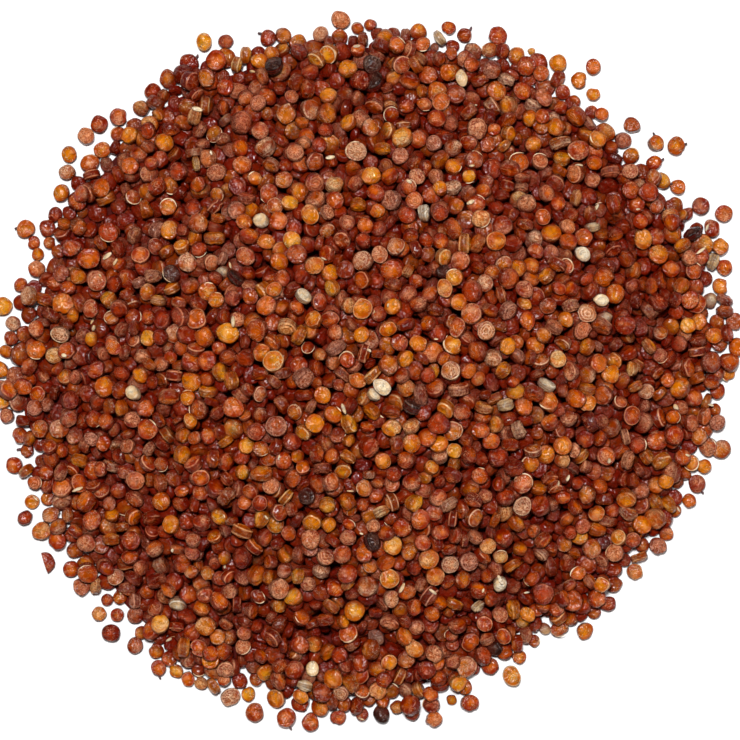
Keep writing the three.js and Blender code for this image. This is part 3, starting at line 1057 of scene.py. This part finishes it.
def make_core(core, inside):
    """The core: a low dome with grain-sized bumps and a flat base."""
    reach, angle = core_outline(inside)
    share = np.sin(np.linspace(0, np.pi / 2, CORE_RINGS + 1))[1:]
    x = np.append(0, share[:, None] * reach * np.cos(angle))
    y = np.append(0, share[:, None] * reach * np.sin(angle))
    bumps = rng.uniform(-CORE_REACH[1], CORE_REACH[1], (CORE_BUMPS, 2))
    away = np.sqrt(((np.stack([x, y], 1)[:, None] - bumps[None]) ** 2).sum(2).min(1))
    bump = np.sqrt(np.clip(1 - (away / BUMP_RADIUS) ** 2, 0, 1))
    z = np.maximum(core.at(x, y) - CORE_DROP + BUMP_HEIGHT * bump, CORE_SKIRT + SKIRT_BUMP * bump)
    upper = np.stack([x, y, z], 1)
    rim = upper[-CORE_RAYS:] * (1, 1, 0)
    points = np.concatenate([upper, rim, [[0, 0, 0]]])
    loops, totals = loops_and_totals(polar_faces(CORE_RINGS + 1, CORE_RAYS))
    piece = make_mesh("heap_core", points, loops, totals, core_finish())
    declare(piece, "heap_core", "quinoa_heap")


def tube(spine, across, up, widths, heights):
    """A closed spindle of diamond section along a spine, pointed at both ends: points, corners, totals."""
    middle = spine[1:-1]
    wide, high = across[1:-1] * widths[1:-1, None], up[1:-1] * heights[1:-1, None]
    ring = np.stack([middle + wide, middle + high, middle - wide, middle - high], 1)
    points = np.concatenate([spine[:1], ring.reshape(-1, 3), spine[-1:]])
    last = len(points) - 1
    loops, totals = [], []
    for side in range(4):
        after = (side + 1) % 4
        loops += [0, 1 + after, 1 + side]
        totals.append(3)
        for k in range(len(ring) - 1):
            here, there = 1 + 4 * k, 5 + 4 * k
            loops += [here + side, here + after, there + after, there + side]
            totals.append(4)
        loops += [last, last - 4 + side, last - 4 + after]
        totals.append(3)
    return points, np.array(loops), np.array(totals)


def join_tubes(name, tubes, material):
    points, corners, totals = zip(*tubes)
    starts = np.cumsum([0, *map(len, points)])
    loops = np.concatenate([part + start for part, start in zip(corners, starts)])
    return make_mesh(name, np.concatenate(points), loops, np.concatenate(totals), material)


RIM_POINTS = 15             # of a pale sliver's spine
RIM_REACH = 0.97            # its outer side's distance from the grain's axis, next to the radius,
RIM_HEIGHT = 0.82           # and its height, next to half the thickness, at its two tips
RIM_THICKNESS = 0.07
LIES_FLAT = 0.8             # the least upward part of a flat grain's axis


def crescent(grains, index, start, sweep, width):
    """A sliver of pale skin that hugs a grain's rim over part of the way round."""
    share = np.linspace(0, 1, RIM_POINTS)
    angle = start + sweep * share
    swell = np.sin(np.pi * share) ** 0.6
    out = RIM_REACH - width * swell / 2
    x, y = np.cos(angle), np.sin(angle)
    section = np.stack([out * x, out * y, RIM_HEIGHT - 0.12 * swell], 1)
    outward = np.stack([x, y, np.full(RIM_POINTS, -0.75)], 1)
    upward = np.stack([0.6 * x, 0.6 * y, np.ones(RIM_POINTS)], 1)
    half, turn, place = grains["half"][index], grains["turn"][index], grains["place"][index]
    spine, across, up = ((vectors * half) @ turn.T for vectors in (section, outward, upward))
    return tube(place + spine, across, up, width * swell / 2, RIM_THICKNESS * swell)


def make_pale_rims(grains, share, kind):
    """Long slivers where the picture shows them, and short ones on other grains that lie flat."""
    flat = grains["turn"][:, 2, 2] > LIES_FLAT
    usable = flat & (share > WELL_SEEN) & (kind != KIND_NAMES.index("cream"))
    tubes = []
    chosen = grains_at(grains, PALE_RIMS, usable)
    more = rng.choice(np.nonzero(usable)[0], MORE_RIMS, replace=False)
    for indices, sweeps, widths in ((chosen, (2.2, 5.0), (0.10, 0.20)), (more, (0.7, 2.2), (0.06, 0.18))):
        for index in indices:
            start = rng.uniform(0, FULL_TURN)
            tubes.append(crescent(grains, index, start, rng.uniform(*sweeps), rng.uniform(*widths)))
    declare(join_tubes("pale_rims", tubes, husk_finish()), "husk", "quinoa_heap")


STALK_TAPER = np.array([0, 1, 0.95, 0.8, 0.7, 0.75, 0])
STALK_THICK = 0.15          # half its thickness where it is thickest
STALK_BEND = 0.9            # radians, from its foot to its tip
STALK_SLOPE = 0.12
STALK_FOOT = 0.75           # how far from its grain's middle it starts, as a share of the radius


def stalk(middle, radius, way, length):
    """A short, bent, tapering stub from inside a grain's rim, pointing a way given in degrees."""
    count = len(STALK_TAPER)
    way = math.radians(way)
    foot = middle + STALK_FOOT * radius * np.array([math.cos(way), math.sin(way), 0])
    bend = way + STALK_BEND * (np.linspace(0, 1, count) - 0.3)
    step = np.stack([np.cos(bend), np.sin(bend), np.full(count, STALK_SLOPE)], 1) * length / (count - 1)
    side = np.stack([-np.sin(bend), np.cos(bend), np.zeros(count)], 1)
    up = np.tile([0.0, 0.0, 1.0], (count, 1))
    thick = STALK_THICK * STALK_TAPER
    return tube(foot + np.cumsum(step, 0) - step[0], side, up, thick, thick)


def make_heap_stalks(grains, share):
    spots = [(across, down) for across, down, _ in STALKS]
    found = grains_at(grains, spots, share > WELL_SEEN)
    tubes = []
    for index, (_, _, way) in zip(found, STALKS):
        tubes.append(stalk(grains["place"][index], grains["half"][index, 1], way, length=0.62))
    declare(join_tubes("stalk_stubs", tubes, stalk_finish()), "dark_grain", "quinoa_heap")


def make_stray_stalks():
    for node, way in STRAY_STALKS.items():
        low, high = box_of(node)
        tubes = [stalk((low + high) / 2, (high - low)[1] / 2, way, length=0.5)]
        declare(join_tubes(node + "_stub", tubes, stalk_finish()), "dark_grain", node)


SMALL_FLAKE = 0.62          # how large the flakes at random places are, next to the others
SHOULDER_REACH = 0.62       # where a grain's shoulder is: its distance from the middle, as a share of
SHOULDER_HEIGHT = 0.86      # the radius, and its height, as a share of the grain's own


def make_flakes(grains, share, material):
    """Loose bits of pale skin and broken seed that rest on the shoulders of grains."""
    usable = share > FLAKE_FROM
    under = grains_at(grains, PALE_FLAKES, usable)
    under += list(rng.choice(np.nonzero(usable)[0], MORE_FLAKES, replace=False))
    count = len(under)
    long = rng.uniform(0.30, 0.68, count)
    wide = rng.uniform(0.12, 0.28, count)
    half = np.stack([long, wide, rng.uniform(0.06, 0.14, count)], 1)
    half[len(PALE_FLAKES):] *= SMALL_FLAKE
    # Each lies across the way that its grain's shoulder falls, and slopes down with it.
    way = rng.uniform(0, FULL_TURN, count)
    slope = rng.uniform(0.35, 0.85, count)
    turn = turned(way, slope, rng.normal(math.pi / 2, 0.5, count))
    out = SHOULDER_REACH * grains["half"][under][:, 1]
    tall = np.sqrt(((grains["turn"][under][:, 2] * grains["half"][under]) ** 2).sum(1))
    rise = SHOULDER_HEIGHT * tall + half[:, 2]
    place = grains["place"][under] + np.stack([out * np.cos(way), out * np.sin(way), rise], 1)
    flakes = {"place": place, "half": half, "turn": turn}
    looks = looks_of(np.full(count, KIND_NAMES.index("cream")))
    piece = grain_piece("pale_flakes", flakes, np.arange(count), np.zeros(count, bool), looks, material)
    declare(piece, "husk", "quinoa_heap")


def settled_grains(top, core, inside):
    """The heap's grains, read and poured, as they lie in the end, each with its upper face up."""
    read = read_grains(core)
    poured = poured_grains(top, core, inside, read["place"])
    grains = {key: np.concatenate([read[key], poured[key]]) for key in read}
    for steps, sink in SINKING:
        settle(grains, core, steps, sink)
    grains["turn"][grains["turn"][:, 2, 2] < 0] *= np.array([1, -1, -1])
    return grains


def kinds_of(grains, share):
    """Each grain's kind: as read off the picture where it was, or else by chance."""
    amount = np.array([row.amount for row in KINDS.values()])
    kind = rng.choice(len(KINDS), len(share), p=amount / amount.sum())
    poured = grains["kind"] == POURED
    kind = np.where(poured, kind, grains["kind"])
    usable = poured & (share > MARKED_FROM)
    for name, spots in (("cream", CREAM_GRAINS), ("amber", AMBER_GRAINS), ("dark", DARK_GRAINS)):
        found = grains_at(grains, spots, usable)
        kind[found] = KIND_NAMES.index(name)
        if name == "cream":
            grains["half"][found] *= CREAM_SIZE
    return kind


def make_heap(top, core, inside, materials):
    """The heap's grains, one piece for each kind, and what lies on them."""
    grains = settled_grains(top, core, inside)
    share, shown = seen_share(grains)
    roof = roof_of(grains)
    kind = kinds_of(grains, share)
    looks = looks_of(kind)
    fine = share > FINE_FROM
    for index, (name, row) in enumerate(KINDS.items()):
        which = np.nonzero((kind == index) & shown)[0]
        piece = grain_piece(name + "_grains", grains, which, fine, looks, materials[name], roof)
        declare(piece, row.slot, "quinoa_heap")
    make_pale_rims(grains, share, kind)
    make_flakes(grains, share, materials["cream"])
    make_heap_stalks(grains, share)


def single_grain(name, kind, place, half, material, change=None):
    """A piece of one grain that lies flat."""
    grain = {"place": place[None], "half": half[None], "turn": np.eye(3)[None]}
    looks = looks_of(np.array([KIND_NAMES.index(kind)]))
    return grain_piece(name, grain, np.zeros(1, int), np.ones(1, bool), looks, material, None, change)


FIT = 0.98                  # how much of its solid's height, or breadth, a single grain takes up
STRAY_DROP = 0.01           # how far its middle is below the solid's
STRAY_NOTCH_WIDTH = 0.25    # radians


def make_strays(materials):
    """Each single grain beside the heap, filling its solid's box."""
    for node, (kind, notch, way) in STRAYS.items():
        low, high = box_of(node)
        place = (low + high) / 2 - (0, 0, STRAY_DROP)
        half = (high - low) / 2 * (1, 1, FIT)
        given = {
            "notch": notch, "notch_at": math.radians(way), "notch_width": STRAY_NOTCH_WIDTH, "beak": 0.0,
        }
        change = {key: np.array([[value]]) for key, value in given.items()}
        piece = single_grain(node + "_seed", kind, place, half, materials[kind], change)
        declare(piece, KINDS[kind].slot, node)


BREAK_ANGLE = 18.0          # its cut side faces this far below the left, in degrees,
BREAK_OFF = 0.32            # and lies this far from the middle of its box, mm
BREAK_FLATNESS = 0.97       # 1 is quite flat
HALF_THICKNESS = 0.46       # half a broken grain's thickness, mm


def make_broken_grain(materials):
    """Half a grain: a whole one squeezed flat against the plane of the break."""
    low, high = box_of("broken_grain")
    way = math.radians(180 + BREAK_ANGLE)
    cut = np.array([math.cos(way), math.sin(way), 0.0])
    radius = (high - low)[1] / 2 * FIT
    middle = (low + high) / 2 + cut * BREAK_OFF
    half = np.array([radius, radius, HALF_THICKNESS])
    piece = single_grain("broken_grain_half", "chestnut", middle, half, materials["chestnut"])
    for vertex in piece.data.vertices:
        past = (np.array(vertex.co) / METRES - middle) @ cut
        if past > 0:
            vertex.co -= Vector(cut * (past * BREAK_FLATNESS * METRES))
    declare(piece, "chestnut_grain", "broken_grain")


# ---------------- the setting

def make_floor(half=1000.0, drop=0.01):
    """A square floor, just under the grains."""
    corners = np.array([(-half, -half, 0), (half, -half, 0), (half, half, 0), (-half, half, 0)])
    floor = make_mesh("floor", corners, np.arange(4), np.array([4]), floor_finish())
    floor.location.z = -drop * METRES


def make_camera(distance=0.45, sensor=36.0):
    """A camera straight above, at a distance in metres, that frames the picture's width on the floor."""
    data = bpy.data.cameras.new("camera")
    data.sensor_width = sensor
    data.lens = sensor * distance / (PICTURE_SIDE * MM_PER_PIXEL * METRES)
    data.clip_start, data.clip_end = 0.01, 10
    camera = placed("camera", data)
    camera.location = (VIEW_CENTRE[0] * METRES, VIEW_CENTRE[1] * METRES, distance)
    bpy.context.scene.camera = camera


def make_light(name, place, size, watts):
    """A round lamp that points at the heap, in metres."""
    data = bpy.data.lights.new(name, "AREA")
    data.shape = "DISK"
    data.size = size
    data.energy = watts
    light = placed(name, data)
    light.location = place
    light.rotation_euler = (-Vector(place)).to_track_quat("-Z", "Y").to_euler()


def make_world(strength, colour):
    """Even light from all round."""
    world = bpy.data.worlds.new("studio")
    world.use_nodes = True
    background = world.node_tree.nodes["Background"]
    background.inputs["Color"].default_value = (*colour, 1)
    background.inputs["Strength"].default_value = strength
    bpy.context.scene.world = world


def core_of(top, sigma=2.0):
    """The core's height everywhere: the heap's own, less the cover of loose grains, and smoother."""
    heights = np.maximum(blurred(np.maximum(top.heights - COVER, 0), sigma), 0)
    return HeightField(heights, top.corner, top.cell)


rng = np.random.default_rng(SEED)
top, inside = solid_top("quinoa_heap")
core = core_of(top)
coats = {name: coat(name + "_coat", row.face, row.shoulder, row.frost) for name, row in KINDS.items()}

make_core(core, inside)
make_heap(top, core, inside, coats)
make_strays(coats)
make_broken_grain(coats)
make_stray_stalks()
make_floor()
make_camera()
make_light("key", place=(-0.03, 0.13, 0.60), size=0.09, watts=4.3)
make_light("side", place=(0.5, -0.1, 0.3), size=0.10, watts=0.6)
make_world(strength=0.08, colour=(1.0, 0.88, 0.83))
bpy.context.scene.view_settings.view_transform = "Standard"
